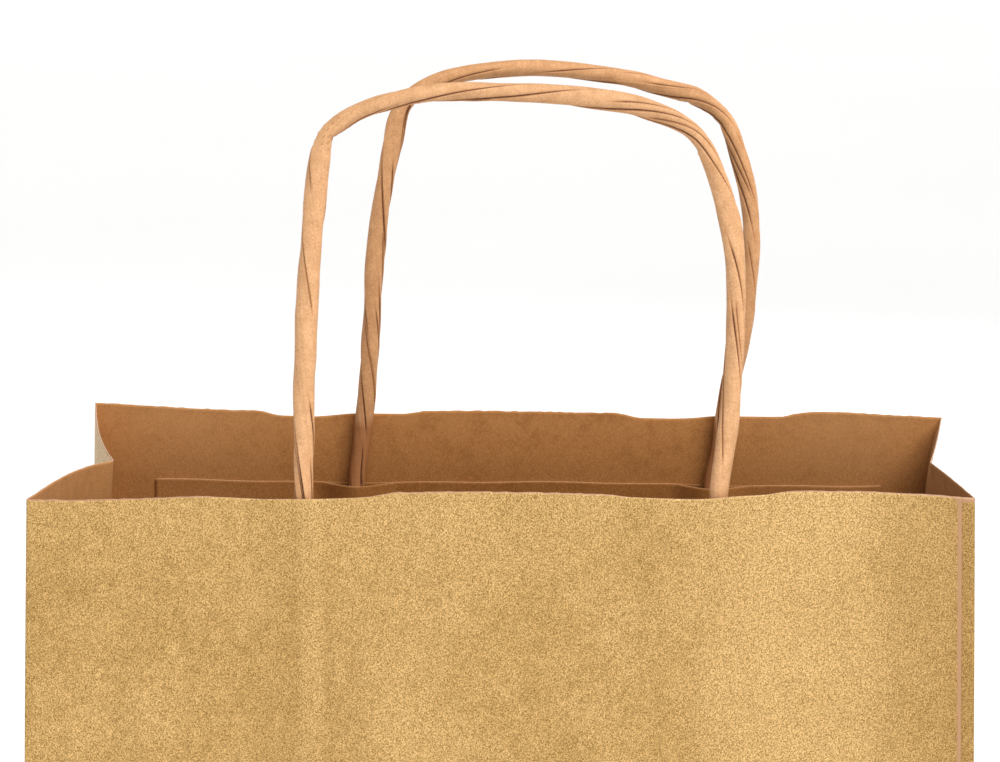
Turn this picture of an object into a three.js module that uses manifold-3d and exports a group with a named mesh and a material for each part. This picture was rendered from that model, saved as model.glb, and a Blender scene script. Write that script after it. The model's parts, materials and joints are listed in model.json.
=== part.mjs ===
// A standing paper gift bag with two twisted-cord handles, in millimetres, +Z up.
// X runs across the front panel, Y from the front (-) to the rear (+), and the base stands on z = 0.
import * as THREE from "three";
import Module from "manifold-3d";

const wasm = await Module();
wasm.setup();
const { Manifold, Mesh } = wasm;

// ---- Driving dimensions ----
const WIDTH = 210;
const DEPTH = 120;
const HEIGHT = 267;
const PAPER = 0.3;
const GAP = 0.3; // left between two pieces that touch

// The side gussets fold inwards towards the mouth along a crease.
const CREASE_IN_LEFT = 12;
const CREASE_IN_RIGHT = 6;
const CREASE_FORWARD = 12; // the crease ends this far forward of the middle at the rim

// The rim dips where each cord leg crosses it.
const SCOOP_DEPTH = 1.4;
const SCOOP_WIDTH = 43;
const SCOOP_X = 44.7;

// The sheet closes into a tube at the right front corner.
const SEAM_EDGE_X = 102;
const SEAM_FLAP_WIDTH = 14;

// Block bottom: two end tucks inside, and two long flaps glued over them, all within the four walls.
const FLAP_REACH = 12; // of each long flap past the middle
const TUCK_LENGTH = 70;
const BOTTOM_INSET_X = 0.6;
const BOTTOM_INSET_Y = 1.5;
const LAYER = PAPER + GAP;

// Handle cords and the paper patches that hold their ends.
const CORD_RADIUS = 2.18;
const HINGE_HEIGHT = 2.5; // of the bending line above the rim
const PATCH_WIDTH = 180;
const PATCH_HEIGHT = 38;
const PATCH_TOP = HEIGHT - 18;
const TAIL_LENGTH = 34; // of each cord end under its patch
const BUMP_HALF_WIDTH = 9; // of the cover strip where it rises over a cord end
const GLUE = 0.1;
const CORD_SIDES = 14;

const PANEL_Y = DEPTH / 2; // outer face of the front and rear panels
const BACKING_Y = PANEL_Y - LAYER; // outer face of the strip glued to the panel
const CORD_Y = BACKING_Y - LAYER - CORD_RADIUS;
const FRONT = -1;
const REAR = 1;

// ---- Materials ----
const goldPaper = new THREE.MeshStandardMaterial({ color: 0xd2a765, roughness: 0.42, metalness: 0.35 });
const kraftPaper = new THREE.MeshStandardMaterial({ color: 0x9a6a3e, roughness: 0.9 });
const cordPaper = new THREE.MeshStandardMaterial({ color: 0xddaa7c, roughness: 0.8 });
const dryGlue = new THREE.MeshStandardMaterial({ color: 0xe6dcc4, roughness: 0.5 });

// ---- Helpers ----
const bag = new THREE.Group();
bag.name = "gift_bag";

function addNode(name, geometry, material) {
  const mesh = new THREE.Mesh(geometry, material);
  mesh.name = name;
  bag.add(mesh);
}

// An upright slab: shape drawn in x and z, its faces at y = nearY and nearY + thickness.
function uprightSlab(shape, nearY, thickness) {
  const slab = new THREE.ExtrudeGeometry(shape, { depth: thickness, bevelEnabled: false });
  slab.rotateX(Math.PI / 2);
  slab.translate(0, nearY + thickness, 0);
  return slab;
}

// A flat slab: shape drawn in x and y, its lower face at z = lowZ.
function flatSlab(shape, lowZ, thickness) {
  const slab = new THREE.ExtrudeGeometry(shape, { depth: thickness, bevelEnabled: false });
  slab.translate(0, 0, lowZ);
  return slab;
}

function box(minX, maxX, minY, maxY, minZ, maxZ) {
  const geometry = new THREE.BoxGeometry(maxX - minX, maxY - minY, maxZ - minZ);
  geometry.translate((minX + maxX) / 2, (minY + maxY) / 2, (minZ + maxZ) / 2);
  return geometry;
}

function polygon(points) {
  return new THREE.Shape(points.map(([x, y]) => new THREE.Vector2(x, y)));
}

// Rim height at x: straight, with one smooth dip at each cord leg.
function rimZ(x) {
  const away = Math.abs(Math.abs(x) - SCOOP_X) / (SCOOP_WIDTH / 2);
  const dip = away < 1 ? 0.5 + 0.5 * Math.cos(Math.PI * away) : 0;
  return HEIGHT - SCOOP_DEPTH * dip;
}

// ---- Panels ----
function panelShape(minX, maxX) {
  const outline = [[minX, 0], [maxX, 0], [maxX, HEIGHT]];
  const steps = 12;
  for (const side of [1, -1]) {
    for (let i = 0; i <= steps; i += 1) {
      const x = side * SCOOP_X + SCOOP_WIDTH * (0.5 - i / steps);
      outline.push([x, rimZ(x)]);
    }
  }
  outline.push([minX, HEIGHT]);
  return polygon(outline);
}

function addPanels() {
  const halfWidth = WIDTH / 2;
  const front = panelShape(-halfWidth, SEAM_EDGE_X);
  addNode("front_panel", uprightSlab(front, -PANEL_Y, PAPER), goldPaper);
  const rear = panelShape(-halfWidth, halfWidth);
  addNode("rear_panel", uprightSlab(rear, PANEL_Y - PAPER, PAPER), goldPaper);
}

// One half of a side gusset: a sheet between the panel's corner and the crease.
function gussetHalf(sideX, endY, creaseIn, thicknessInward) {
  const geometry = new THREE.BoxGeometry(1, 1, 1, 1, 6, 8);
  const position = geometry.attributes.position;
  for (let i = 0; i < position.count; i += 1) {
    const across = position.getY(i) + 0.5; // 0 at the panel's corner, 1 at the crease
    const up = position.getZ(i) + 0.5;
    const inner = position.getX(i) + 0.5;
    const creaseY = -CREASE_FORWARD * up + Math.sign(endY) * GAP / 2;
    const outerX = WIDTH / 2 - creaseIn * up * across;
    position.setXYZ(
      i,
      sideX * (outerX - thicknessInward * inner),
      THREE.MathUtils.lerp(endY, creaseY, across),
      HEIGHT * up,
    );
  }
  const mirrored = sideX * Math.sign(endY) < 0;
  return mirrored ? flipped(geometry) : geometry;
}

// The same closed surface with its faces turned the other way.
function flipped(geometry) {
  const index = geometry.index;
  for (let i = 0; i < index.count; i += 3) {
    const second = index.getX(i + 1);
    index.setX(i + 1, index.getX(i + 2));
    index.setX(i + 2, second);
  }
  return geometry;
}

function addGussets() {
  const edgeY = PANEL_Y - LAYER;
  const sides = [["left", -1, CREASE_IN_LEFT], ["right", 1, CREASE_IN_RIGHT]];
  for (const [side, sideX, creaseIn] of sides) {
    addNode(`${side}_gusset_front`, gussetHalf(sideX, -edgeY, creaseIn, PAPER), goldPaper);
    addNode(`${side}_gusset_rear`, gussetHalf(sideX, edgeY, creaseIn, PAPER), goldPaper);
  }
}

// The sheet's end carries on round the corner from the gusset and is glued behind the front panel.
function addSideSeam() {
  const cornerX = WIDTH / 2 - LAYER;
  const flapX = cornerX - SEAM_FLAP_WIDTH;
  const flapY = -PANEL_Y + LAYER;
  addNode("side_seam_flap", box(flapX, cornerX, flapY, flapY + PAPER, 0, HEIGHT - 0.5), goldPaper);
  const glueY = -PANEL_Y + PAPER + GLUE;
  addNode("side_seam_glue", box(flapX + 3, SEAM_EDGE_X - 2, glueY, glueY + GLUE, 10, HEIGHT - 6), dryGlue);
}

// ---- Block bottom ----
// A long flap: a trapezium whose ends run in at 45 degrees from the base's corners.
function flapShape(side) {
  const halfWidth = WIDTH / 2 - BOTTOM_INSET_X;
  const foldY = side * (PANEL_Y - BOTTOM_INSET_Y);
  const edgeY = -side * FLAP_REACH;
  const narrow = halfWidth - Math.abs(edgeY - foldY);
  const corners = [[-halfWidth, foldY], [halfWidth, foldY], [narrow, edgeY], [-narrow, edgeY]];
  return polygon(side === FRONT ? corners : corners.reverse());
}

function addBottom() {
  addNode("bottom_front_flap", flatSlab(flapShape(FRONT), 0, PAPER), goldPaper);
  addNode("bottom_rear_flap", flatSlab(flapShape(REAR), LAYER, PAPER), goldPaper);
  const lapY = FLAP_REACH - 3;
  addNode("bottom_lap_glue", box(-28, 28, -lapY, lapY, PAPER + GLUE, PAPER + 2 * GLUE), dryGlue);

  const tuckZ = LAYER * 2;
  const glueZ = LAYER + PAPER + GLUE;
  const outerX = WIDTH / 2 - BOTTOM_INSET_X;
  const innerX = outerX - TUCK_LENGTH;
  const endY = PANEL_Y - BOTTOM_INSET_Y;
  for (const [name, side] of [["left", -1], ["right", 1]]) {
    const [minX, maxX] = [side * innerX, side * outerX].sort((a, b) => a - b);
    addNode(`bottom_${name}_tuck`, box(minX, maxX, -endY, endY, tuckZ, tuckZ + PAPER), goldPaper);
    const [glueMin, glueMax] = [side * (innerX + 3), side * (innerX + 15)].sort((a, b) => a - b);
    addNode(`bottom_${name}_glue`, box(glueMin, glueMax, 2, endY - 12, glueZ, glueZ + GLUE), dryGlue);
  }
}

// ---- Handles ----
// Centreline of a handle above its bending line, from the left leg over the grip to the right leg: x and height.
const FRONT_HANDLE = {
  loop: [
    [-43.4, 0], [-43.2, 20], [-42.4, 41], [-41.1, 57], [-39.3, 73.5], [-37.8, 77.6], [-34.8, 80.3],
    [-30.8, 82.8], [-24.5, 85], [-13.5, 87], [3, 87.1], [22, 85.8], [32, 83.8], [39, 81], [43.2, 77.6],
    [46.5, 71], [49.9, 60.7], [51.7, 50], [51.9, 40], [51, 20], [48.7, 0],
  ],
  patchX: [-43.5, 46.5],
};
const REAR_HANDLE = {
  loop: [
    [-37.3, 0], [-36.3, 12], [-35.4, 28], [-33.9, 46], [-30.8, 63.4], [-28.9, 71.5], [-25.5, 76.2],
    [-18.1, 80.1], [-8, 82.1], [5, 82.8], [23.4, 81.1], [38, 77.6], [44.1, 75.8], [49.1, 72.4],
    [52.1, 67.7], [55.2, 58], [57.1, 47.3], [57.2, 36], [55.5, 19], [51.8, 0],
  ],
  patchX: [-39.6, 48],
};

function circle(radius, sides) {
  const points = [];
  for (let i = 0; i < sides; i += 1) {
    const angle = (i / sides) * 2 * Math.PI;
    points.push([radius * Math.cos(angle), radius * Math.sin(angle)]);
  }
  return polygon(points);
}

function toSolid(geometry) {
  const plain = geometry.index ? geometry.toNonIndexed() : geometry;
  const positions = plain.attributes.position.array;
  const triVerts = Uint32Array.from({ length: positions.length / 3 }, (_, i) => i);
  const mesh = new Mesh({ numProp: 3, vertProperties: positions, triVerts });
  mesh.merge();
  return new Manifold(mesh);
}

function toGeometry(solid) {
  const mesh = solid.getMesh();
  const geometry = new THREE.BufferGeometry();
  geometry.setAttribute("position", new THREE.BufferAttribute(mesh.vertProperties, 3));
  geometry.setIndex(new THREE.BufferAttribute(mesh.triVerts, 1));
  geometry.computeVertexNormals();
  return geometry;
}

// A cord along a smooth line through points of x and z.
function cord(points, y, steps) {
  const path = new THREE.CatmullRomCurve3(points.map(([x, z]) => new THREE.Vector3(x, y, z)), false, "centripetal");
  const options = { steps, bevelEnabled: false, extrudePath: path };
  return new THREE.ExtrudeGeometry(circle(CORD_RADIUS, CORD_SIDES), options);
}

// The loop above the bending line, with a round end on the line at each leg.
function handleLoop(centreline, y) {
  const points = centreline.map(([x, z]) => [x, HEIGHT + HINGE_HEIGHT + z]);
  let solid = toSolid(cord(points, y, 80));
  for (const [x, z] of [points[0], points[points.length - 1]]) {
    solid = solid.add(Manifold.sphere(CORD_RADIUS, 24).translate([x, y, z]));
  }
  return toGeometry(solid);
}

function addHandle(name, side, { loop, patchX }) {
  const y = side * CORD_Y;
  addNode(`${name}_handle`, handleLoop(loop, y), cordPaper);
  const legXs = [loop[0][0], loop[loop.length - 1][0]];
  ["left", "right"].forEach((leg, i) => {
    const route = [
      [legXs[i], HEIGHT - 0.1],
      [(legXs[i] + patchX[i]) / 2, (HEIGHT + PATCH_TOP) / 2],
      [patchX[i], PATCH_TOP],
      [patchX[i], PATCH_TOP - TAIL_LENGTH],
    ];
    addNode(`${name}_handle_${leg}_tail`, cord(route, y, 12), cordPaper);
  });
  addPatch(name, side, patchX);
}

// The inner face of the cover strip stands this far off the backing strip.
function coverLift(x, legs) {
  const rise = 2 * (CORD_RADIUS + GAP) - GAP;
  let lift = 0;
  for (const leg of legs) {
    const away = Math.abs(x - leg) / BUMP_HALF_WIDTH;
    if (away < 1) {
      lift = rise * (0.5 + 0.5 * Math.cos(Math.PI * away));
    }
  }
  return GAP + lift;
}

function coverXs(legs) {
  const steps = 12;
  const xs = [-PATCH_WIDTH / 2];
  for (const leg of legs) {
    for (let i = 0; i <= steps; i += 1) {
      xs.push(leg + BUMP_HALF_WIDTH * ((2 * i) / steps - 1));
    }
  }
  xs.push(PATCH_WIDTH / 2);
  return xs;
}

// Two paper strips with the cord ends glued between them.
function addPatch(name, side, legs) {
  const bottom = PATCH_TOP - PATCH_HEIGHT;
  const halfWidth = PATCH_WIDTH / 2;
  const outer = side * BACKING_Y;
  const inner = side * (BACKING_Y - PAPER);
  const backing = box(-halfWidth, halfWidth, Math.min(outer, inner), Math.max(outer, inner), bottom, PATCH_TOP);
  addNode(`${name}_patch_backing`, backing, kraftPaper);

  const xs = coverXs(legs);
  const face = (x, extra) => [x, inner - side * (coverLift(x, legs) + extra)];
  const near = xs.map((x) => face(x, 0));
  const far = xs.map((x) => face(x, PAPER)).reverse();
  const cover = flatSlab(polygon([...near, ...far]), bottom, PATCH_HEIGHT);
  addNode(`${name}_patch_cover`, cover, kraftPaper);

  const glueNear = side * (PANEL_Y - PAPER - GLUE);
  const glueFar = side * (PANEL_Y - PAPER - 2 * GLUE);
  const minY = Math.min(glueNear, glueFar);
  const glue = box(5 - halfWidth, halfWidth - 5, minY, minY + GLUE, bottom + 4, PATCH_TOP - 4);
  addNode(`${name}_patch_glue`, glue, dryGlue);
}

addPanels();
addGussets();
addSideSeam();
addBottom();
addHandle("front", FRONT, FRONT_HANDLE);
addHandle("rear", REAR, REAR_HANDLE);

export default bag;
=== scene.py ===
import json
import math

import bpy
import numpy as np
from mathutils import Euler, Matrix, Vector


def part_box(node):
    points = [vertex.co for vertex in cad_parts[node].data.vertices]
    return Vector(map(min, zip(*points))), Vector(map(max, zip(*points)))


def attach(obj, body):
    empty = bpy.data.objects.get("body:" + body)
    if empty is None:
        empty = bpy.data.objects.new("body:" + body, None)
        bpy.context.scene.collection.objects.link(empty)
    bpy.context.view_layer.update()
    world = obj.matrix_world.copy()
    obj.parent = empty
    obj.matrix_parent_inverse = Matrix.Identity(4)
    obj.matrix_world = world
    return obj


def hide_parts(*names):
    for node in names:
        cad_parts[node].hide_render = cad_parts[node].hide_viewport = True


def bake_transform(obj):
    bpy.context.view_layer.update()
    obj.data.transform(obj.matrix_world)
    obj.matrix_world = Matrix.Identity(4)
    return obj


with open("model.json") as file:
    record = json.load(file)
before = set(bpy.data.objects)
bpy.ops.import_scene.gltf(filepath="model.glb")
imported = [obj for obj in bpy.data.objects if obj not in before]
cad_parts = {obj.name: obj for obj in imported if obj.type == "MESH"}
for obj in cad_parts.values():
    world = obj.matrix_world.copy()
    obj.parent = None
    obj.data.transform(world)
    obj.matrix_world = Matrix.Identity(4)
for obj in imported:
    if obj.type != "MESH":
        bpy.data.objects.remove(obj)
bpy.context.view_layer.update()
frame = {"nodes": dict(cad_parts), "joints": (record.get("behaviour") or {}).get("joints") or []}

MM = 0.001

# ---- Driving dimensions, from the frame ----
FRONT_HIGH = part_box("front_panel")[1]
REAR_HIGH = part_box("rear_panel")[1]
HALF_WIDTH = REAR_HIGH.x
HALF_DEPTH = REAR_HIGH.y
HEIGHT = FRONT_HIGH.z
SEAM_X = FRONT_HIGH.x
FLAP_END_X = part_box("side_seam_flap")[0].x
PATCH_LOW, PATCH_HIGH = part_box("front_patch_backing")
HINGE_Z = frame["joints"][0]["pos_m"][2]
CORD_Y = abs(frame["joints"][0]["pos_m"][1])
CORD_RADIUS = (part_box("front_handle")[1].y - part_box("front_handle")[0].y) / 2
TAIL_END_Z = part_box("front_handle_left_tail")[0].z

PAPER = 0.28 * MM
BASE_PAPER = 0.25 * MM
STRIP_PAPER = 0.2 * MM
GLUE_THICKNESS = 0.04 * MM
GLUE_GAP = 0.03 * MM
LAP_GAP = 0.4 * MM  # between the two sheets of the side seam
RNG = np.random.default_rng(7)

# ---- The open bag's shape ----
CREASE_IN = {-1: 13.5 * MM, 1: 7 * MM}  # how far each gusset crease folds in at the rim
CREASE_IN_AT_BASE = 1.2 * MM
CREASE_FORWARD = 13 * MM  # how far the creases lean forward at the rim
PANEL_BULGE = 1.6 * MM
LEFT_RIDGE_X = -41.5 * MM  # where the handle cords press soft ridges into the panels
RIGHT_RIDGE_X = 50 * MM
LEG_X = 45 * MM
SCOOP_HALF_WIDTH = 22 * MM
FRONT_SCOOP_EDGE = 10 * MM
REAR_SCOOP_EDGE = 5 * MM
BOTTOM_FOLD_Z = HALF_DEPTH  # the crease where the base folds up against the bag when it is stored flat
FOLD_HALF_WIDTH = 2.2 * MM
BASE_TUCK = 0.5 * MM  # how far the walls turn in at the very bottom
CORNER_FLARE = 4 * MM  # how far the rear right corner draws in below the rim
SIDE_SWELL = {-1: 1.95 * MM, 1: 1.3 * MM}  # how far the corners on each side stand out halfway up
# How each half gusset curves in towards its crease at the rim: the straight share, and the power of the rest.
GUSSET_CURVE = {(-1, -1): (0.55, 5), (-1, 1): (0.73, 3), (1, -1): (0.9, 3), (1, 1): (0.9, 3)}
# The cut rims: x, and height above or below the bag's nominal height, in mm.
FRONT_RIM = [
    (-105, -1.2), (-91, -1.15), (-75, -0.55), (-66, -0.1), (-59, -0.4), (-52, -0.7), (-39, -0.5), (-30, -0.1),
    (-27, 0.3), (-23.5, 1.15), (-8, 1.5), (8, 1.4), (24, 1.15), (28, 0.5), (40, 0.15), (46, 0.2), (52, 0.85),
    (60, 1.35), (63, 2.2), (76, 2.35), (88, 2), (96, 1.55), (105, 0.85),
]
REAR_RIM = [
    (-105, 1.3), (-99, 1), (-90, 0.55), (-80, 0.05), (-70, -0.35), (-63.5, -0.3), (-60, -1.55), (-50, -1.8),
    (-46, -1.45), (-41, -0.9), (-27, -0.95), (-24, -0.2), (-10, 0), (8, -0.1), (26, -0.35), (29.5, -1.5),
    (39, -1.6), (44, -1.4), (48, -0.9), (66, -0.95), (69.5, 0.15), (75, 0.35), (84, 0.25), (89, -0.15),
    (97, -0.45), (105, -0.9),
]
RIM_ROUNDING = 1.4 * MM


def smooth(low, high, value):
    """0 below low, 1 above high, with a smooth step between them."""
    t = np.clip((value - low) / (high - low), 0, 1)
    return t * t * (3 - 2 * t)


def lerp(a, b, t):
    """The value t of the way from a to b."""
    return a + (b - a) * t


def hill(value, centre, half_width):
    """A round hill: 1 at the centre, 0 from half_width on."""
    return 0.5 + 0.5 * np.cos(np.pi * np.clip(np.abs(value - centre) / half_width, 0, 1))


def scoop(x, y):
    """How much of a dip of the rim x is in: two shallow dips with soft ends, one at each cord leg."""
    away = np.abs(np.abs(x) - LEG_X)
    edge = np.where(y < 0, FRONT_SCOOP_EDGE, REAR_SCOOP_EDGE)
    return 1 - smooth(SCOOP_HALF_WIDTH - edge, SCOOP_HALF_WIDTH, away)


def on_panel(y):
    """Whether y is on the front or rear panel rather than on a gusset."""
    return np.abs(y) > 0.97 * HALF_DEPTH


def rim_line(points, x):
    """Height of a cut rim at x, with the corners of its line a little rounded."""
    xs, heights = np.array(points).T * MM
    return sum(np.interp(x + shift, xs, heights) for shift in (-RIM_ROUNDING, 0, RIM_ROUNDING)) / 3


def rim_offset(x, y):
    """How far the rim at x, y stands above or below the bag's nominal height."""
    rearward = np.clip((y / HALF_DEPTH + 1) / 2, 0, 1)
    return lerp(rim_line(FRONT_RIM, x), rim_line(REAR_RIM, x), rearward)


def corner_flare(z):
    """How far the rear right corner stands in at height z: nothing at the rim, most a little below it."""
    below = HEIGHT - z
    return CORNER_FLARE * (1 - np.exp(-below / (9 * MM))) * (1 - smooth(20 * MM, 90 * MM, below))


def in_patch(x, z):
    """1 where a handle patch lies behind the panel, 0 elsewhere, with edges 2 mm soft."""
    across = smooth(PATCH_LOW.x - MM, PATCH_LOW.x + MM, x)
    across = across * (1 - smooth(PATCH_HIGH.x - MM, PATCH_HIGH.x + MM, x))
    up = smooth(PATCH_LOW.z - MM, PATCH_LOW.z + MM, z)
    up = up * (1 - smooth(PATCH_HIGH.z - MM, PATCH_HIGH.z + MM, z))
    return across * up


def panel_relief(x, z, side):
    """How far a front (-1) or rear (1) panel stands out of its flat plane."""
    across = np.cos(np.pi / 2 * x / HALF_WIDTH)
    up = np.sin(np.pi * np.clip(z / HEIGHT, 0, 1))
    bulge = PANEL_BULGE * across * up
    # Long soft waves, in radians per metre.
    waves = 0.10 * MM * np.sin(x * 71 + z * 23 + side) * np.sin(z * 47 + 1.3 * side)
    left_ridge = 0.16 * MM * hill(x, LEFT_RIDGE_X, 4 * MM)
    right_ridge = 0.14 * MM * hill(x, RIGHT_RIDGE_X, 8 * MM) * (1 - smooth(210 * MM, 250 * MM, z))
    patch = 0.1 * MM * in_patch(x, z)
    fold = -0.35 * MM * hill(z, BOTTOM_FOLD_Z, FOLD_HALF_WIDTH)
    fade = smooth(0, 8 * MM, HALF_WIDTH - np.abs(x))
    return (bulge + (waves + left_ridge + right_ridge) * fade + patch + fold * fade) * up**0.25


def swelled(x, z):
    """x with the bag's sides swelling out between the base and the rim."""
    swell = np.where(x < 0, SIDE_SWELL[-1], SIDE_SWELL[1]) * np.sin(np.pi * np.clip(z / HEIGHT, 0, 1))
    return x * (1 + swell / HALF_WIDTH)


def gusset_inset(t, z, side, end):
    """How far in half a gusset stands. t is 0 at the corner and 1 at the crease, end -1 front or 1 rear."""
    crease = lerp(CREASE_IN_AT_BASE, CREASE_IN[side], (z / HEIGHT) ** 1.25)
    straight, power = GUSSET_CURVE[side, end]
    curl = straight * t + (1 - straight) * t**power
    between = smooth(0, 0.1, t) * (1 - smooth(0.9, 1, t))
    diagonal = 0.3 * MM * hill(z, BOTTOM_FOLD_Z * t, FOLD_HALF_WIDTH) * between
    return crease * curl + diagonal


# ---- Mesh helpers ----
def mesh_object(name, points, faces, materials, attributes=()):
    """A smooth mesh in the scene. Each attribute is a label and one value for each point."""
    mesh = bpy.data.meshes.new(name)
    mesh.from_pydata(points.reshape(-1, 3).tolist(), [], faces)
    for label, values in attributes:
        layer = mesh.attributes.new(label, "FLOAT", "POINT")
        layer.data.foreach_set("value", np.asarray(values, np.float32).reshape(-1))
    mesh.shade_smooth()
    for material in materials:
        mesh.materials.append(material)
    made = bpy.data.objects.new(name, mesh)
    bpy.context.scene.collection.objects.link(made)
    return made


def grid_object(name, points, materials, attributes=()):
    """A sheet mesh from points[row, column, xyz]. Its faces look along (column step) x (row step)."""
    rows, columns, _ = points.shape
    index = np.arange(rows * columns).reshape(rows, columns)
    faces = np.stack([index[:-1, :-1], index[:-1, 1:], index[1:, 1:], index[1:, :-1]], -1)
    return mesh_object(name, points, faces.reshape(-1, 4).tolist(), materials, attributes)


def thicken(obj, thickness, offset, inner=0, rim=0):
    """Gives a sheet its paper thickness, with its own materials on the far side and on the cut edge."""
    solid = obj.modifiers.new("paper", "SOLIDIFY")
    solid.thickness = thickness
    solid.offset = offset
    solid.use_even_offset = True
    solid.material_offset = inner
    solid.material_offset_rim = rim


# ---- Materials ----
class Nodes:
    """A short way to write a node tree."""

    def __init__(self, material):
        self.tree = material.node_tree
        self.shader = self.tree.nodes["Principled BSDF"]
        # Turned, so that no flat panel lies along the noise's own grid.
        turned = self.tree.nodes.new("ShaderNodeMapping")
        turned.inputs["Rotation"].default_value = (0.61, 0.43, 0.94)
        self.straight = self.tree.nodes.new("ShaderNodeTexCoord").outputs["Object"]
        self.tree.links.new(self.straight, turned.inputs["Vector"])
        self.place = turned.outputs["Vector"]

    def link(self, source, target):
        self.tree.links.new(source, target)

    def noise(self, scale, detail=3, roughness=0.6, stretch=None):
        """Noise at so many cycles per metre, with stretch along the bag's own axes where it is given."""
        node = self.tree.nodes.new("ShaderNodeTexNoise")
        node.inputs["Scale"].default_value = scale
        node.inputs["Detail"].default_value = detail
        node.inputs["Roughness"].default_value = roughness
        source = self.place
        if stretch:
            mapping = self.tree.nodes.new("ShaderNodeMapping")
            mapping.inputs["Scale"].default_value = stretch
            self.link(self.straight, mapping.inputs["Vector"])
            source = mapping.outputs["Vector"]
        self.link(source, node.inputs["Vector"])
        return node.outputs["Fac"]

    def attribute(self, name):
        """The value of one of the mesh's point attributes."""
        node = self.tree.nodes.new("ShaderNodeAttribute")
        node.attribute_name = name
        return node.outputs["Fac"]

    def ramp(self, value, low, high, from_value=0.0, to_value=1.0):
        """from_value where value is at low, to_value where it is at high, and held beyond them."""
        node = self.tree.nodes.new("ShaderNodeMapRange")
        node.inputs["From Min"].default_value = low
        node.inputs["From Max"].default_value = high
        node.inputs["To Min"].default_value = from_value
        node.inputs["To Max"].default_value = to_value
        self.link(value, node.inputs["Value"])
        return node.outputs["Result"]

    def band(self, value, low, high, soft):
        """1 between low and high, fading to 0 over soft on each side."""
        rise = self.ramp(value, low - soft, low)
        return self.math("MULTIPLY", rise, self.ramp(value, high, high + soft, 1.0, 0.0))

    def across(self):
        """The x and z of the place on the object, in metres."""
        node = self.tree.nodes.new("ShaderNodeSeparateXYZ")
        self.link(self.straight, node.inputs["Vector"])
        return node.outputs["X"], node.outputs["Z"]

    def math(self, operation, first, second):
        """One operation on two values, each a number or an output."""
        node = self.tree.nodes.new("ShaderNodeMath")
        node.operation = operation
        for socket, value in zip(node.inputs, (first, second)):
            if isinstance(value, (int, float)):
                socket.default_value = value
            else:
                self.link(value, socket)
        return node.outputs["Value"]

    def mix(self, factor, first, second, blend="MIX"):
        """first blended with second by factor. Each is a number, a colour or an output."""
        node = self.tree.nodes.new("ShaderNodeMix")
        node.data_type = "RGBA"
        node.blend_type = blend
        sockets = (node.inputs["Factor"], node.inputs[6], node.inputs[7])
        for socket, value in zip(sockets, (factor, first, second)):
            if isinstance(value, (int, float)):
                socket.default_value = value
            elif isinstance(value, tuple):
                socket.default_value = (*value, 1)
            else:
                self.link(value, socket)
        return node.outputs[2]

    def tint(self, base, value, none_at, full_at, colour, most):
        """base, turning towards colour by up to the share most, as value goes from none_at to full_at."""
        return self.mix(self.ramp(value, none_at, full_at, 0.0, most), base, colour)

    def bump(self, height, strength, distance, below=None):
        """A bumped normal, on top of another one if below is given."""
        node = self.tree.nodes.new("ShaderNodeBump")
        node.inputs["Strength"].default_value = strength
        node.inputs["Distance"].default_value = distance
        self.link(height, node.inputs["Height"])
        if below:
            self.link(below, node.inputs["Normal"])
        return node.outputs["Normal"]


def new_material(name, colour, roughness, metallic=0.0):
    """A plain material and the helper that writes its nodes."""
    material = bpy.data.materials.new(name)
    material.use_nodes = True
    material.diffuse_color = (*colour, 1)
    nodes = Nodes(material)
    nodes.shader.inputs["Base Color"].default_value = (*colour, 1)
    nodes.shader.inputs["Roughness"].default_value = roughness
    nodes.shader.inputs["Metallic"].default_value = metallic
    return material, nodes


# The thin gold serves both the ink's thin patches and painted shade; the pale gold serves both its pale
# patches and painted light.
GOLD = (0.555, 0.333, 0.098)
GOLD_THIN_AND_SHADE = (0.385, 0.213, 0.048)
GOLD_PALE_AND_LIT = (0.76, 0.485, 0.180)
DARK_SPECK = (0.47, 0.40, 0.18)
# The bright specks are partly painted glints of the ink's metal.
GLINT_SPECK = (1.43, 1.50, 1.82)
UNPRINTED = (0.50, 0.275, 0.14)
RAW_EDGE = (0.72, 0.50, 0.36)
RAW_DARK, RAW_PALE = (0.5, 0.3, 0.18), (0.78, 0.55, 0.4)
BLOTCH_DARK, BLOTCH_PALE = (0.26, 0.10, 0.026), (0.56, 0.27, 0.10)
FIBRE_DARK, FIBRE_PALE = (0.22, 0.085, 0.02), (0.70, 0.38, 0.16)
# Painted light for the kraft towards the sides of the bag, and painted shade for it deeper in the bag.
KRAFT_LIT_SIDES = (0.66, 0.35, 0.145)
KRAFT_DEEP_SHADE = (0.22, 0.072, 0.006)
CORD_GRAIN_DARK, CORD_GRAIN_PALE = (0.50, 0.225, 0.085), (0.95, 0.63, 0.38)
# Painted shade for the cords below the rim.
CORD_SHADED_INSIDE = (0.32, 0.105, 0.022)
# Painted shade and painted shadow for the cords' creases.
CREASE_SHADE, CREASE_SHADOW = (0.44, 0.18, 0.058), (0.08, 0.02, 0.005)
GLUE_COLOUR = (0.7, 0.6, 0.42)
GLUE_DARK, GLUE_PALE = (0.6, 0.48, 0.3), (0.8, 0.72, 0.55)


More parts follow.
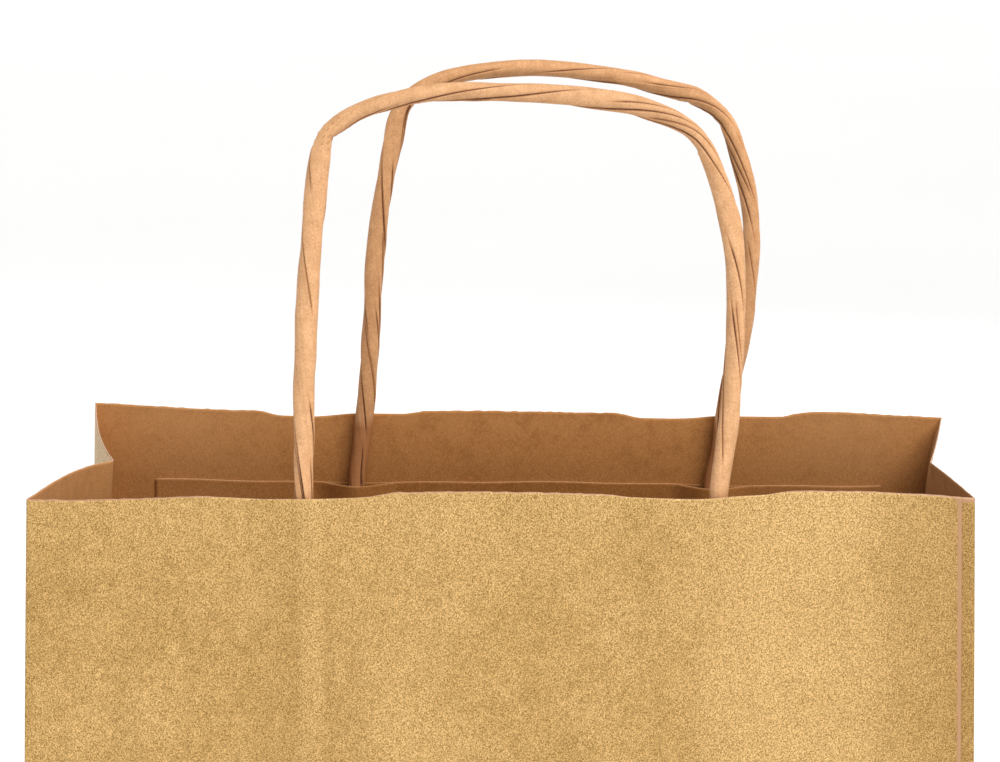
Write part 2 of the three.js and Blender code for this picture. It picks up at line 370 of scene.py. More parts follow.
def ink_tone(nodes):
    """The ink's colour without its sparkle, and its clouds: streaked, and with broad bands of painted light
    and shade along the bag.
    """
    fibre = nodes.noise(1300, 3, 0.65)
    mottle = nodes.noise(330, 4, 0.7)
    clouds = nodes.noise(38, 5, 0.62)
    streaks = nodes.noise(1, 3, 0.6, (85, 85, 11))
    tone = nodes.tint(GOLD, clouds, 0.45, 0.68, GOLD_PALE_AND_LIT, 0.35)
    tone = nodes.tint(tone, clouds, 0.46, 0.28, GOLD_THIN_AND_SHADE, 0.35)
    tone = nodes.tint(tone, streaks, 0.5, 0.72, GOLD_THIN_AND_SHADE, 0.35)
    tone = nodes.tint(tone, mottle, 0.48, 0.30, GOLD_THIN_AND_SHADE, 0.45)
    tone = nodes.tint(tone, mottle, 0.52, 0.70, GOLD_PALE_AND_LIT, 0.35)
    tone = nodes.tint(tone, fibre, 0.54, 0.70, GOLD_THIN_AND_SHADE, 0.55)
    x, z = nodes.across()
    # Painted shade darkens the ink towards the right side, and painted light makes it paler in a broad
    # upright band beside it, in a narrower band left of the middle and along the rim.
    broad_light_band = nodes.math("MULTIPLY", nodes.band(x, 58 * MM, 73 * MM, 22 * MM), 0.42)
    middle_light_band = nodes.math("MULTIPLY", nodes.band(x, -24 * MM, -14 * MM, 12 * MM), 0.16)
    rim_light = nodes.ramp(z, HEIGHT - 20 * MM, HEIGHT, 0.0, 0.16)
    pale = nodes.math("ADD", nodes.math("ADD", broad_light_band, middle_light_band), rim_light)
    tone = nodes.mix(pale, tone, GOLD_PALE_AND_LIT)
    # Painted shade darkens it in an upright hollow left of the left ridge.
    hollow_shade = nodes.math("MULTIPLY", nodes.band(x, -51 * MM, -46 * MM, 6 * MM), 0.22)
    painted_shade = nodes.math("ADD", nodes.ramp(x, 80 * MM, 100 * MM, 0.0, 0.34), hollow_shade)
    tone = nodes.mix(painted_shade, tone, GOLD_THIN_AND_SHADE)
    # Painted highlights make it paler again over the ridges that the handle cords press into the panels.
    left_ridge = nodes.band(x, LEFT_RIDGE_X - 2 * MM, LEFT_RIDGE_X + 2 * MM, 1.2 * MM)
    right_ridge = nodes.band(x, RIGHT_RIDGE_X - 4 * MM, RIGHT_RIDGE_X + 4 * MM, 3 * MM)
    below_patch = nodes.ramp(z, 225 * MM, 245 * MM, 0.22, 0.0)
    left_share = nodes.math("MULTIPLY", left_ridge, 0.20)
    ridge_highlights = nodes.math("ADD", left_share, nodes.math("MULTIPLY", right_ridge, below_patch))
    tone = nodes.mix(ridge_highlights, tone, GOLD_PALE_AND_LIT)
    # Painted shade on the seam flap and beside the seam.
    return nodes.mix(nodes.math("MULTIPLY", nodes.attribute("seam_shade"), 0.55), tone, GOLD_THIN_AND_SHADE), clouds


def gold_print():
    """Gold ink on kraft: a fine sparkle of ink over the cloudy tone, ending just short of the cut edges."""
    material, nodes = new_material("gold_print", GOLD, 0.5, 0.15)
    grain = nodes.noise(3500, 2, 0.5)
    tone, clouds = ink_tone(nodes)
    # The specks are the ink's own grain, with painted glints in the bright ones.
    specks = nodes.mix(nodes.ramp(grain, 0.34, 0.66), DARK_SPECK, GLINT_SPECK)
    inked = nodes.mix(1.0, tone, specks, "MULTIPLY")
    ragged = nodes.ramp(nodes.noise(900, 3), 0.3, 0.7, -0.12, 0.12)
    printed = nodes.ramp(nodes.math("ADD", nodes.attribute("print_edge"), ragged), -0.06, 0.1)
    nodes.link(nodes.mix(printed, UNPRINTED, inked), nodes.shader.inputs["Base Color"])
    nodes.link(nodes.ramp(grain, 0.3, 0.7, 0.6, 0.4), nodes.shader.inputs["Roughness"])
    fine = nodes.bump(grain, 0.35, 0.12 * MM)
    nodes.link(nodes.bump(clouds, 0.2, 1.2 * MM, fine), nodes.shader.inputs["Normal"])
    return material


def kraft(name, dark, pale):
    """Bare brown kraft with fine fibres, paler at the rim and towards the sides of the bag: painted light at
    the sides, and painted shade deeper into the bag.
    """
    material, nodes = new_material(name, pale, 0.9)
    nodes.shader.inputs["Specular IOR Level"].default_value = 0.25
    blotches = nodes.noise(210, 4, 0.7)
    mottle = nodes.noise(700, 5, 0.8)
    fibres = nodes.noise(2300, 3, 0.6)
    base = nodes.mix(nodes.ramp(mottle, 0.30, 0.70), dark, pale)
    base = nodes.tint(base, blotches, 0.46, 0.70, BLOTCH_PALE, 0.35)
    base = nodes.tint(base, blotches, 0.50, 0.30, BLOTCH_DARK, 0.35)
    x, z = nodes.across()
    from_middle = nodes.math("ABSOLUTE", x, 0.0)
    # Painted light: paler towards the sides of the bag.
    lit_sides = nodes.math("MULTIPLY", nodes.band(from_middle, 78 * MM, 88 * MM, 30 * MM), 0.42)
    base = nodes.mix(lit_sides, base, KRAFT_LIT_SIDES)
    # Painted shade: darker deeper into the bag below the rim.
    base = nodes.tint(base, z, HEIGHT - 3 * MM, HEIGHT - 19 * MM, KRAFT_DEEP_SHADE, 0.54)
    base = nodes.tint(base, fibres, 0.50, 0.70, FIBRE_DARK, 0.28)
    base = nodes.tint(base, fibres, 0.50, 0.30, FIBRE_PALE, 0.25)
    nodes.link(base, nodes.shader.inputs["Base Color"])
    nodes.link(nodes.bump(fibres, 0.3, 0.15 * MM), nodes.shader.inputs["Normal"])
    return material


def raw_edge():
    """The cut edge of the sheet: pale torn fibre."""
    material, nodes = new_material("raw_edge", RAW_EDGE, 0.9)
    fibre = nodes.noise(1800, 3, 0.7)
    colour = nodes.mix(nodes.ramp(fibre, 0.3, 0.7), RAW_DARK, RAW_PALE)
    nodes.link(colour, nodes.shader.inputs["Base Color"])
    return material


def cord_paper(name, dark, pale):
    """Twisted paper: smooth kraft with a fine grain, with painted shade in the creases and where it goes into
    the bag.
    """
    material, nodes = new_material(name, pale, 0.65)
    mottle = nodes.noise(330, 4, 0.65)
    grain = nodes.noise(2900, 3, 0.6)
    base = nodes.mix(nodes.ramp(mottle, 0.33, 0.67), dark, pale)
    base = nodes.tint(base, grain, 0.50, 0.72, CORD_GRAIN_DARK, 0.62)
    base = nodes.tint(base, grain, 0.46, 0.28, CORD_GRAIN_PALE, 0.45)
    _, z = nodes.across()
    # Painted shade where the cord goes into the bag below the rim.
    base = nodes.tint(base, z, HEIGHT - 0.5 * MM, HEIGHT - 4 * MM, CORD_SHADED_INSIDE, 0.72)
    # Painted shade and painted shadow in the creases, from the crease attribute.
    crease = nodes.attribute("crease")
    base = nodes.tint(base, crease, 0.05, 0.45, CREASE_SHADE, 0.85)
    base = nodes.tint(base, crease, 0.38, 0.78, CREASE_SHADOW, 1.0)
    nodes.link(base, nodes.shader.inputs["Base Color"])
    nodes.link(nodes.bump(grain, 0.3, 0.1 * MM), nodes.shader.inputs["Normal"])
    return material


def glue_film():
    """Dry paper glue, slightly glossy and streaked."""
    material, nodes = new_material("dry_glue", GLUE_COLOUR, 0.4)
    streaks = nodes.noise(300, 3, 0.6, (1, 0.1, 1))
    colour = nodes.mix(nodes.ramp(streaks, 0.3, 0.7), GLUE_DARK, GLUE_PALE)
    nodes.link(colour, nodes.shader.inputs["Base Color"])
    return material


GOLD_PRINT, RAW, GLUE = gold_print(), raw_edge(), glue_film()
KRAFT = kraft("bare_kraft", (0.48, 0.203, 0.058), (0.60, 0.272, 0.088))
PATCH_KRAFT = kraft("patch_kraft", (0.345, 0.142, 0.036), (0.47, 0.198, 0.055))
CORDS = {
    "front": cord_paper("front_cord_paper", (0.66, 0.345, 0.155), (0.82, 0.46, 0.225)),
    # The rear cord is a darker copy of the same paper: painted shade.
    "rear": cord_paper("rear_cord_paper_shaded", (0.60, 0.29, 0.115), (0.76, 0.40, 0.18)),
}


# ---- The folded sheet ----
# Widths of the unprinted strip along the rim, along the seam, and above the seam flap, in mm.
RIM_STRIP, SEAM_STRIP, FLAP_STRIP = 0.22, 0.85, 1.0


def spread(length, step, fine=0.5 * MM):
    """Shares from 0 to just under 1 along a stretch, with one fine step at each end for the crease."""
    count = max(2, round(length / step))
    inside = np.linspace(fine / length, 1 - fine / length, count)
    return np.concatenate([[0.0], inside])


def sheet_rows():
    """Heights of the sheet's rows, closer together at the base fold, the bottom crease and the rim."""
    base = np.array([0.1, 0.5, 1.2, 2.5, 6, 12]) * MM
    low = np.arange(18, 54, 6) * MM
    fold = BOTTOM_FOLD_Z + np.array([-3, -1.6, -0.7, 0, 0.7, 1.6, 3]) * MM
    middle = np.arange(68, 250, 4) * MM
    top = HEIGHT - np.array([15, 12, 9, 6, 3.5, 1.8, 0.6, 0]) * MM
    return np.concatenate([base, low, fold, middle, top])


def sheet_column_shares():
    """Where the sheet's columns lie in each of its runs, as shares of the run."""
    return {
        "front": spread(SEAM_X + HALF_WIDTH, 1.25 * MM),
        "left_front": spread(HALF_DEPTH, 1.6 * MM),
        "left_rear": spread(HALF_DEPTH, 1.6 * MM),
        "rear": spread(2 * HALF_WIDTH, 1.25 * MM),
        "right_rear": spread(HALF_DEPTH, 1.6 * MM),
        "right_front": spread(HALF_DEPTH, 1.6 * MM),
        "flap": np.append(spread(HALF_WIDTH - FLAP_END_X, 2 * MM), 1.0),
    }


def gusset_run(t, z, side, to_crease, end_y):
    """x and y along half a gusset, from the panel's corner to the crease or back."""
    crease_y = -CREASE_FORWARD * (z / HEIGHT) ** 1.4
    share = t if to_crease else 1 - t
    y = lerp(end_y, crease_y, share)
    x = side * (HALF_WIDTH - gusset_inset(share, z, side, math.copysign(1, end_y)))
    return x, y


def sheet_outline(shares, z):
    """x and y of every column at height z, from the seam edge round the bag to the end of the seam flap."""
    runs = []
    x = lerp(SEAM_X, -HALF_WIDTH, shares["front"])
    runs.append((x, -HALF_DEPTH - panel_relief(x, z, -1)))
    runs.append(gusset_run(shares["left_front"], z, -1, True, -HALF_DEPTH))
    runs.append(gusset_run(shares["left_rear"], z, -1, False, HALF_DEPTH))
    flare = corner_flare(z)
    x = lerp(-HALF_WIDTH, HALF_WIDTH - flare, shares["rear"])
    runs.append((x, HALF_DEPTH + panel_relief(x, z, 1)))
    x, y = gusset_run(shares["right_rear"], z, 1, True, HALF_DEPTH)
    runs.append((x - flare * (1 - shares["right_rear"] ** 4), y))
    runs.append(gusset_run(shares["right_front"], z, 1, False, -HALF_DEPTH + LAP_GAP))
    x = lerp(HALF_WIDTH, FLAP_END_X, shares["flap"])
    runs.append((x, -HALF_DEPTH + LAP_GAP - panel_relief(x, z, -1)))
    xs, ys = (np.concatenate(parts) for parts in zip(*runs))
    return swelled(xs, z), ys


def soften_creases(x, y, creases):
    """Moves each crease column a little towards its neighbours, so that no fold is a knife edge."""
    for i in creases:
        x[i] += 0.25 * (x[i - 1] + x[i + 1] - 2 * x[i])
        y[i] += 0.25 * (y[i - 1] + y[i + 1] - 2 * y[i])


def sheet_points(shares, heights, creases):
    """The sheet's points, a row at each height, with the ups and downs of the cut rim."""
    columns = sum(len(part) for part in shares.values())
    points = np.zeros((len(heights), columns, 3))
    ragged = RNG.uniform(-0.10, 0.10, columns) * MM
    for row, z in enumerate(heights):
        x, y = sheet_outline(shares, z)
        soften_creases(x, y, creases)
        tuck_in = BASE_TUCK * (1 - smooth(0, 1.2 * MM, z))
        x *= 1 - tuck_in / HALF_WIDTH
        y *= 1 - tuck_in / HALF_DEPTH
        lift = rim_offset(x, y) * smooth(0.6 * HEIGHT, HEIGHT, z)
        if row == len(heights) - 1:
            lift = lift + ragged * np.where(on_panel(y), 1 - scoop(x, y), 0.5)
        points[row] = np.stack([x, y, z + lift], -1)
    return points


def print_attributes(points, heights, front_columns, flap_start):
    """How far inside the print's edge each point lies, in mm, and how much painted shade darkens the print
    there.
    """
    from_rim = (HEIGHT - heights[:, None]) / MM + np.zeros((1, points.shape[1]))
    x, y = points[..., 0], points[..., 1]
    print_edge = from_rim - RIM_STRIP * np.where(on_panel(y), 1 - 2 * scoop(x, y), 0.7)
    from_seam = (x[:, :1] - x[:, :front_columns]) / MM
    print_edge[:, :front_columns] = np.minimum(print_edge[:, :front_columns], from_seam - SEAM_STRIP)
    print_edge[:, flap_start - 2 :] = from_rim[:, flap_start - 2 :] - FLAP_STRIP
    # Painted shade: full on the seam flap, half beside the seam, fading out over 5 mm from it.
    seam_shade = np.zeros_like(print_edge)
    seam_shade[:, flap_start:] = 1
    seam_shade[:, :front_columns] = 0.5 * (1 - smooth(0.5, 5, from_seam))
    return [("print_edge", print_edge), ("seam_shade", seam_shade)]


def build_sheet():
    """The walls of the bag and the seam flap, as one sheet."""
    shares = sheet_column_shares()
    creases = np.cumsum([len(part) for part in shares.values()])[:-1]
    heights = sheet_rows()
    points = sheet_points(shares, heights, creases)
    attributes = print_attributes(points, heights, len(shares["front"]), creases[-1])
    sheet = grid_object("bag_sheet", points, [GOLD_PRINT, KRAFT, RAW], attributes)
    sheet.data.flip_normals()
    thicken(sheet, PAPER, -1, inner=1, rim=2)
    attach(sheet, "bag")
    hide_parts("front_panel", "rear_panel", "left_gusset_front", "left_gusset_rear",
                "right_gusset_front", "right_gusset_rear", "side_seam_flap")


# ---- Block bottom ----
def bottom_sheet(name, corners, side):
    """One flap or tuck of the base: a sheet between four corners, with a slight lift at its free edge."""
    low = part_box(name)[0].z + 0.05 * MM
    a, b, c, d = [np.array([*corner, 0]) for corner in corners]
    u = np.linspace(0, 1, 41)[None, :, None]
    v = np.linspace(0, 1, 25)[:, None, None]
    points = lerp(lerp(a, b, u), lerp(d, c, u), v)
    curl = 0.12 * MM * smooth(0.8, 1, v[..., 0]) * (1 + np.sin(u[..., 0] * 17 + low * 900))
    points[..., 2] = low + curl * side
    print_edge = np.full(points.shape[:2], 5.0)  # printed all over
    sheet = grid_object(f"{name}_paper", points, [GOLD_PRINT, KRAFT, RAW], [("print_edge", print_edge)])
    # Turns the print down on the front flap alone. The rear flap and the tucks show theirs inside the bag.
    if points[0, 1, 0] > points[0, 0, 0]:
        sheet.data.flip_normals()
    thicken(sheet, BASE_PAPER, -1, inner=1, rim=2)
    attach(sheet, "bag")
    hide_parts(name)


def build_bottom():
    """The two flaps and two tucks of the base. Each one's corners start with the edge along its wall."""
    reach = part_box("bottom_front_flap")[1].y
    w, d = HALF_WIDTH - 0.5 * MM, HALF_DEPTH - 0.5 * MM
    flap_tip = w - (d + reach)
    tuck_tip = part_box("bottom_right_tuck")[0].x
    bottom_sheet("bottom_front_flap", [(-w, -d), (w, -d), (flap_tip, reach), (-flap_tip, reach)], 0)
    bottom_sheet("bottom_rear_flap", [(w, d), (-w, d), (-flap_tip, -reach), (flap_tip, -reach)], 1)
    bottom_sheet("bottom_left_tuck", [(-w, d), (-w, -d), (-tuck_tip, -d), (-tuck_tip, d)], 1)
    bottom_sheet("bottom_right_tuck", [(w, -d), (w, d), (tuck_tip, d), (tuck_tip, -d)], 1)


# ---- Handle patches ----
BACKING_STANDOFF = 0.1 * MM  # of each strip from the panel's inner face
COVER_STANDOFF = 0.45 * MM


def patch_sheet(name, side, legs, standoff):
    """One paper strip of a patch, which rises over a cord end at each of its legs."""
    low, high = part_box(name)
    xs = np.linspace(low.x, high.x, 241)[None, :]
    top_rows = high.z - np.array([2, 1.2, 0.5, 0]) * MM
    zs = np.concatenate([np.linspace(low.z, high.z - 3 * MM, 22), top_rows])[:, None]
    wobble = 0.25 * MM * np.sin(xs * 60 + side) + 0.12 * MM * np.sin(xs * 210)
    z = zs + wobble * smooth(low.z, high.z, zs)
    flat = side * (HALF_DEPTH + panel_relief(xs, z, side) - PAPER - standoff)
    over_cord = side * (CORD_Y - CORD_RADIUS - 0.25 * MM)
    y = flat
    for leg in legs:
        near_cord = hill(xs, leg, 10 * MM) ** 0.8 * smooth(TAIL_END_Z - 3 * MM, TAIL_END_Z + 6 * MM, z)
        wrinkles = 0.10 * MM * np.sin(xs * 420 + z * 160) * hill(xs, leg, 16 * MM)
        y = y + (over_cord - flat) * near_cord + side * wrinkles
    points = np.stack([xs + 0 * z, y, z], -1)
    sheet = grid_object(f"{name}_paper", points, [PATCH_KRAFT, RAW])
    if side < 0:
        sheet.data.flip_normals()
    thicken(sheet, STRIP_PAPER, -1, rim=1)
    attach(sheet, "bag")
    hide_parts(name)


# ---- Handles ----
# The centrelines of part.mjs above the bending line: x and height in mm.
HANDLE_LINES = {
    "front": [
        (-43.4, 0), (-43.2, 20), (-42.4, 41), (-41.1, 57), (-39.3, 73.5), (-37.8, 77.6), (-34.8, 80.3),
        (-30.8, 82.8), (-24.5, 85), (-13.5, 87), (3, 87.1), (22, 85.8), (32, 83.8), (39, 81), (43.2, 77.6),
        (46.5, 71), (49.9, 60.7), (51.7, 50), (51.9, 40), (51, 20), (48.7, 0),
    ],
    "rear": [
        (-37.3, 0), (-36.3, 12), (-35.4, 28), (-33.9, 46), (-30.8, 63.4), (-28.9, 71.5), (-25.5, 76.2),
        (-18.1, 80.1), (-8, 82.1), (5, 82.8), (23.4, 81.1), (38, 77.6), (44.1, 75.8), (49.1, 72.4),
        (52.1, 67.7), (55.2, 58), (57.1, 47.3), (57.2, 36), (55.5, 19), (51.8, 0),
    ],
}
PATCH_LEGS = {"front": (-43.5 * MM, 46.5 * MM), "rear": (-39.6 * MM, 48 * MM)}
RING_STEP = 0.8 * MM
RING_SIDES = 100
TWIST_PITCH = 74 * MM
# Each fold of the twisted paper: phase in turns, height of its overlap, and how often it comes and goes.
FOLDS = [
    (0.00, 0.17, 26), (0.12, 0.11, 43), (0.27, 0.16, 21), (0.40, 0.10, 57),
    (0.55, 0.16, 33), (0.67, 0.12, 47), (0.79, 0.14, 29), (0.90, 0.09, 61),
]
# How wide each cord lies in the plane of its loop: distance from its left bending line in mm, and a factor.
CORD_WIDTHS = {
    "front": [
        (0, 1.15), (50, 1.22), (71, 1.27), (78, 1.12), (85, 1), (118, 1.03), (131, 1.14), (150, 1.19),
        (160, 1.08), (172, 1.08), (181, 1.16), (192, 1.1),
    ],
    "rear": [
        (0, 1.17), (25, 1.15), (40, 1.2), (50, 1.13), (64, 1.2), (80, 1), (109, 1), (128, 1.06), (140, 1.1),
        (148, 1.27), (154, 1.1), (160, 1.08), (173, 1.23), (185, 1.08), (230, 1.15),
    ],
}
# Where each cord is kinked, as distance from its left bending line in mm, and how hard.
KINKS = {"front": [(77.5, 1.0), (98, 0.25), (165, 0.55)], "rear": [(77, 0.5), (147, 0.45), (158, 0.6)]}
FOLD_EDGE = 0.055  # radians over which an overlap rises
FOLD_TAIL = 0.75  # radians over which it falls away
GROOVE_WIDTH = 0.075  # radians, of the groove at the foot of an overlap
# Where each cord's twist starts, as a turn in radians and a shift along the cord, so that the two differ.
TWIST_START = {"front": (0, 0), "rear": (2.1, 310 * MM)}


def smooth_path(control, step):
    """Points one step apart on a centripetal Catmull-Rom curve through the control points."""
    control = np.array(control, float)
    ends = [2 * control[0] - control[1], 2 * control[-1] - control[-2]]
    p = np.concatenate([[ends[0]], control, [ends[1]]])
    dense = []
    for i in range(1, len(p) - 2):
        knots = np.cumsum([0] + [np.linalg.norm(p[i + k] - p[i + k - 1]) ** 0.5 for k in range(3)])
        t = np.linspace(knots[1], knots[2], 60, endpoint=False)[:, None]
        a = [
            ((knots[k + 1] - t) * p[i - 1 + k] + (t - knots[k]) * p[i + k]) / (knots[k + 1] - knots[k])
            for k in range(3)
        ]
        b = [
            ((knots[k + 2] - t) * a[k] + (t - knots[k]) * a[k + 1]) / (knots[k + 2] - knots[k])
            for k in range(2)
        ]
        dense.append(((knots[2] - t) * b[0] + (t - knots[1]) * b[1]) / (knots[2] - knots[1]))
    dense = np.concatenate([*dense, p[-2:-1]])
    lengths = np.concatenate([[0], np.cumsum(np.linalg.norm(np.diff(dense, axis=0), axis=1))])
    count = round(lengths[-1] / step)
    at = np.linspace(0, lengths[-1], count + 1)
    return np.stack([np.interp(at, lengths, dense[:, k]) for k in range(2)], -1), at


def cord_profile(angle, distance, bend):
    """Radius share and painted crease shade over the cord's surface: overlaps of paper that wind along it."""
    winding = angle + 2 * np.pi * distance / TWIST_PITCH
    radius = np.full_like(winding, 0.985)
    crease = np.zeros_like(winding)
    for phase, height, beat in FOLDS:
        drift = 0.45 * np.sin(distance * beat + phase * 40) + 0.12 * np.sin(distance * beat * 3.1 + phase * 9)
        off = (winding - 2 * np.pi * phase - drift + np.pi) % (2 * np.pi) - np.pi
        alive = 0.12 + 0.88 * smooth(-0.15, 0.45, np.sin(distance * beat * 1.9 + phase * 23))
        step = smooth(-FOLD_EDGE, FOLD_EDGE, off) * np.exp(-np.maximum(off, 0) / FOLD_TAIL)
        groove = np.exp(-(((off + FOLD_EDGE) / GROOVE_WIDTH) ** 2)) * np.minimum(1, 1.3 * alive)
        shade = np.exp(-np.maximum(-off - FOLD_EDGE, 0) / 0.25) * (off < 0) * alive
        radius += height * (step - 0.32) * alive - 0.10 * groove * height / 0.15
        # The crease value is painted shade: darkest in the groove at each overlap's foot, lighter on its
        # shaded side.
        crease = np.maximum(crease, np.maximum(groove, 0.36 * shade) * min(1, height / 0.12))
    facets = 0.025 * np.cos(2 * winding + 1.3 * np.sin(distance * 60))
    facets += 0.012 * np.sin(5 * winding + distance * 140)
    wrinkles = 0.03 * np.sin(distance * 1700 + 1.5 * np.cos(angle)) * (0.5 + 0.5 * np.cos(angle * 2))
    return radius + facets + bend * wrinkles, crease


def kinked(radius, crease, angle, loop_distance, kinks):
    """Pinches the inside of each kink and fans short wrinkles out from it, with painted shade in the pinch
    and between the wrinkles.
    """
    inner = np.clip(-np.sin(angle), 0, 1)
    for place, depth in kinks:
        along = loop_distance - place * MM
        notch = depth * np.exp(-((along / (0.9 * MM)) ** 2)) * inner**1.5
        near = depth * np.exp(-((along / (4.5 * MM)) ** 2))
        fan = np.sin(2 * np.pi * along / (1.8 * MM) + 3.2 * np.sin(angle) + 0.9 * np.cos(2 * angle + place))
        patchy = smooth(-0.5, 0.5, np.sin(2 * angle + along / (2.4 * MM) + place))
        radius = radius - 0.20 * notch + 0.035 * near * fan
        crease = np.maximum(crease, 0.6 * notch**2)
        crease = np.maximum(crease, 0.42 * near * patchy * smooth(0.72, 0.98, -fan))
    return radius, crease


def cord_route(name):
    """The whole cord's centreline as evenly spaced (x, z), with each point's distance from the left end."""
    line = [(x * MM, HINGE_Z + z * MM) for x, z in HANDLE_LINES[name]]
    left, right = PATCH_LEGS[name]
    between_z = (PATCH_HIGH.z + HEIGHT) / 2
    up = [(left, TAIL_END_Z), (left, PATCH_HIGH.z), ((left + line[0][0]) / 2, between_z)]
    down = [((right + line[-1][0]) / 2, between_z), (right, PATCH_HIGH.z), (right, TAIL_END_Z)]
    return smooth_path(up + line + down, RING_STEP)


def sharp_bends(tangent):
    """1 where the centreline turns sharply, 0 where it is straight or nearly so."""
    turn = np.linalg.norm(np.gradient(tangent, axis=0), axis=1) / RING_STEP
    return smooth(35, 110, np.convolve(turn, np.ones(9) / 9, "same"))[:, None]


def cord_surface(name, side):
    """Rings of points along the cord, and how much painted crease shade each point gets."""
    path, distance = cord_route(name)
    tangent = np.gradient(path, axis=0)
    tangent /= np.linalg.norm(tangent, axis=1)[:, None]
    bend = sharp_bends(tangent)
    angle = np.linspace(0, 2 * np.pi, RING_SIDES, endpoint=False)[None, :]
    turn, shift = TWIST_START[name]
    share, crease = cord_profile(angle + turn, distance[:, None] + shift, bend)
    loop_distance = distance[:, None] - distance[np.argmax(path[:, 1] >= HINGE_Z)]
    share, crease = kinked(share, crease, angle, loop_distance, KINKS[name])
    from_end = np.minimum(distance, distance[-1] - distance)
    radius = CORD_RADIUS * share * np.sqrt(np.clip(from_end / (1.2 * MM), 0.02, 1))[:, None]
    width = np.interp(loop_distance / MM, *np.array(CORD_WIDTHS[name]).T)
    in_loop = smooth(PATCH_HIGH.z, HINGE_Z, path[:, 1:])
    in_plane = radius * np.sin(angle) * (1 - 0.14 * bend) * lerp(1, width, in_loop)
    x = path[:, :1] - in_plane * tangent[:, 1:]
    y = side * CORD_Y + radius * np.cos(angle) * lerp(1, width**-0.35, in_loop)
    z = path[:, 1:] + in_plane * tangent[:, :1]
    return np.stack([x, y, z], -1), crease


def build_handle(name, side):
    """One handle, from one patch leg over the grip to the other, as one cord."""
    points, crease = cord_surface(name, side)
    rings = len(points)
    index = np.arange(rings * RING_SIDES).reshape(rings, RING_SIDES)
    around = np.roll(index, -1, axis=1)
    faces = np.stack([index[:-1], around[:-1], around[1:], index[1:]], -1).reshape(-1, 4).tolist()
    faces.append(index[0][::-1].tolist())
    faces.append(index[-1].tolist())
    cord = mesh_object(f"{name}_cord", points, faces, [CORDS[name]], [("crease", crease)])
    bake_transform(cord)
    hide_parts(f"{name}_handle", f"{name}_handle_left_tail", f"{name}_handle_right_tail")


# ---- Glue ----
def glue_sheet(name, flat_y):
    """A hidden glue film that follows the bulge of its panel. flat_y is its place on a flat panel."""
    low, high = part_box(name)
    side = 1 if low.y > 0 else -1
    x = np.linspace(low.x, high.x, 60)[None, :]
    z = np.linspace(low.z, high.z, 60)[:, None]
    y = side * (flat_y + panel_relief(x, z, side))
    film = grid_object(f"{name}_film", np.stack([x + 0 * z, y, z + 0 * x], -1), [GLUE])
    if side > 0:
        film.data.flip_normals()
    thicken(film, GLUE_THICKNESS, -1)
    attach(film, "bag")
    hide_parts(name)


def build_glue():
    """The films on the panels. The base's films keep their CAD shape, with the glue's own material."""
    for name in ("side_seam_glue", "front_patch_glue", "rear_patch_glue"):
        glue_sheet(name, HALF_DEPTH - PAPER - GLUE_GAP)
    for name, node in frame["nodes"].items():
        if name.startswith("bottom") and name.endswith("glue"):
            node.data.materials.clear()
            node.data.materials.append(GLUE)


# ---- Stage ----
FLOOR_REACH = 9.0
BACKDROP_RISE = 2.0
FLOOR_COLOUR = (0.97, 0.98, 0.99)
FLOOR_DARK, FLOOR_PALE = (0.965, 0.97, 0.98), (0.985, 0.99, 1.0)
WORLD_STRENGTH = 0.34
KEY_ENERGY = 2.86
KEY_WIDTH = math.radians(38)  # wide, for soft shadows
KEY_TILT, KEY_TURN = math.radians(40), math.radians(35)  # from straight down, and towards the right
FILL_PLACE = (0.7, 1.5, 0.9)
FILL_TARGET = (0, 0, 0.2)
FILL_SIZE = 1.2
FILL_POWER = 9


def add_lamp(name, kind, energy, colour, place, rotation):
    """A lamp of some kind in the scene, and its data for what that kind alone has."""
    data = bpy.data.lights.new(name, kind)
    data.energy = energy
    data.color = colour
    lamp = bpy.data.objects.new(name, data)
    bpy.context.scene.collection.objects.link(lamp)
    lamp.location = place
    lamp.rotation_euler = rotation
    return lamp, data


def build_floor():
    """A pale floor that curves up into a backdrop all round."""
    turns = np.linspace(2 * np.pi, 0, 73)[None, :]
    curve = np.linspace(0, np.pi / 2, 13)
    reach = np.append(0.001, FLOOR_REACH + BACKDROP_RISE * np.sin(curve))[:, None]
    rise = np.append(0, BACKDROP_RISE * (1 - np.cos(curve)))[:, None]
    points = np.stack([reach * np.cos(turns), reach * np.sin(turns), rise + 0 * turns], -1)
    material, nodes = new_material("pale_floor", FLOOR_COLOUR, 0.7)
    shade = nodes.noise(1.2, 2, 0.4)
    colour = nodes.mix(nodes.ramp(shade, 0.3, 0.7), FLOOR_DARK, FLOOR_PALE)
    nodes.link(colour, nodes.shader.inputs["Base Color"])
    grid_object("floor", points, [material])


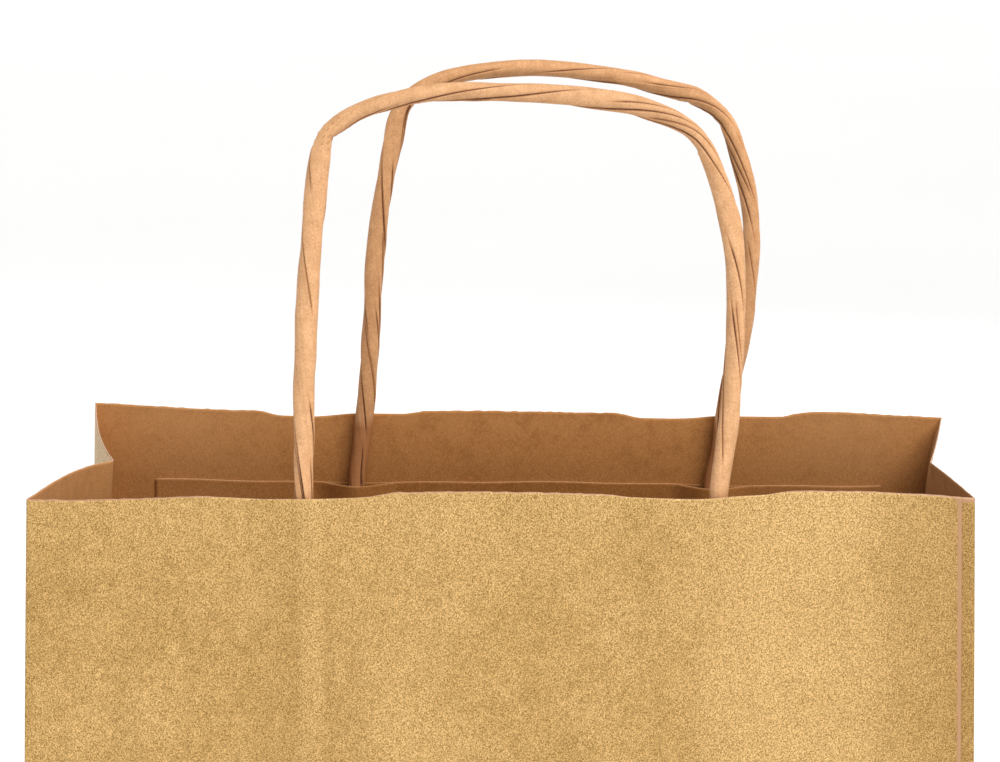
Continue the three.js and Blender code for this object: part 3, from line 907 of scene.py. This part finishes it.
def build_lights():
    """An even white world, a soft key light from the front right and a cool fill from behind."""
    world = bpy.data.worlds.new("studio")
    bpy.context.scene.world = world
    world.use_nodes = True
    background = world.node_tree.nodes["Background"]
    background.inputs["Color"].default_value = (1, 1, 1, 1)
    background.inputs["Strength"].default_value = WORLD_STRENGTH
    towards = np.array(FILL_TARGET) - np.array(FILL_PLACE)
    yaw = math.atan2(towards[1], towards[0]) - math.pi / 2
    tilt = math.atan2(towards[2], math.hypot(towards[0], towards[1])) + math.pi / 2
    fill, fill_data = add_lamp("back_fill", "AREA", FILL_POWER, (0.97, 0.98, 1), FILL_PLACE, (tilt, 0, yaw))
    fill_data.shape = "DISK"
    fill_data.size = FILL_SIZE
    fill.visible_camera = False
    _, key_data = add_lamp("key", "SUN", KEY_ENERGY, (1, 0.985, 0.96), (0, 0, 0), (KEY_TILT, 0, KEY_TURN))
    key_data.angle = KEY_WIDTH


CAMERA_PLACE = (0.0361, -1.020, 0.4437)
CAMERA_LENS = 159.1  # mm
CAMERA_SENSOR = 36  # mm wide
CAMERA_PITCH, CAMERA_YAW, CAMERA_ROLL = 8.9, 2.14, -0.107  # degrees down, to the left and clockwise


def build_camera():
    """A long lens a metre in front of the bag, above the rim and a little to the right."""
    data = bpy.data.cameras.new("camera")
    data.sensor_width = CAMERA_SENSOR
    data.lens = CAMERA_LENS
    camera = bpy.data.objects.new("camera", data)
    bpy.context.scene.collection.objects.link(camera)
    camera.location = CAMERA_PLACE
    look = Euler((math.radians(90 - CAMERA_PITCH), 0, math.radians(CAMERA_YAW)), "XYZ").to_matrix()
    roll = Euler((0, 0, math.radians(-CAMERA_ROLL)), "XYZ").to_matrix()
    camera.rotation_euler = (look @ roll).to_euler()
    bpy.context.scene.camera = camera


build_camera()
build_floor()
build_lights()
build_sheet()
build_bottom()
for handle, handle_side in (("front", -1), ("rear", 1)):
    build_handle(handle, handle_side)
    patch_sheet(f"{handle}_patch_backing", handle_side, [], BACKING_STANDOFF)
    patch_sheet(f"{handle}_patch_cover", handle_side, PATCH_LEGS[handle], COVER_STANDOFF)
build_glue()
bpy.context.scene.view_settings.view_transform = "Standard"
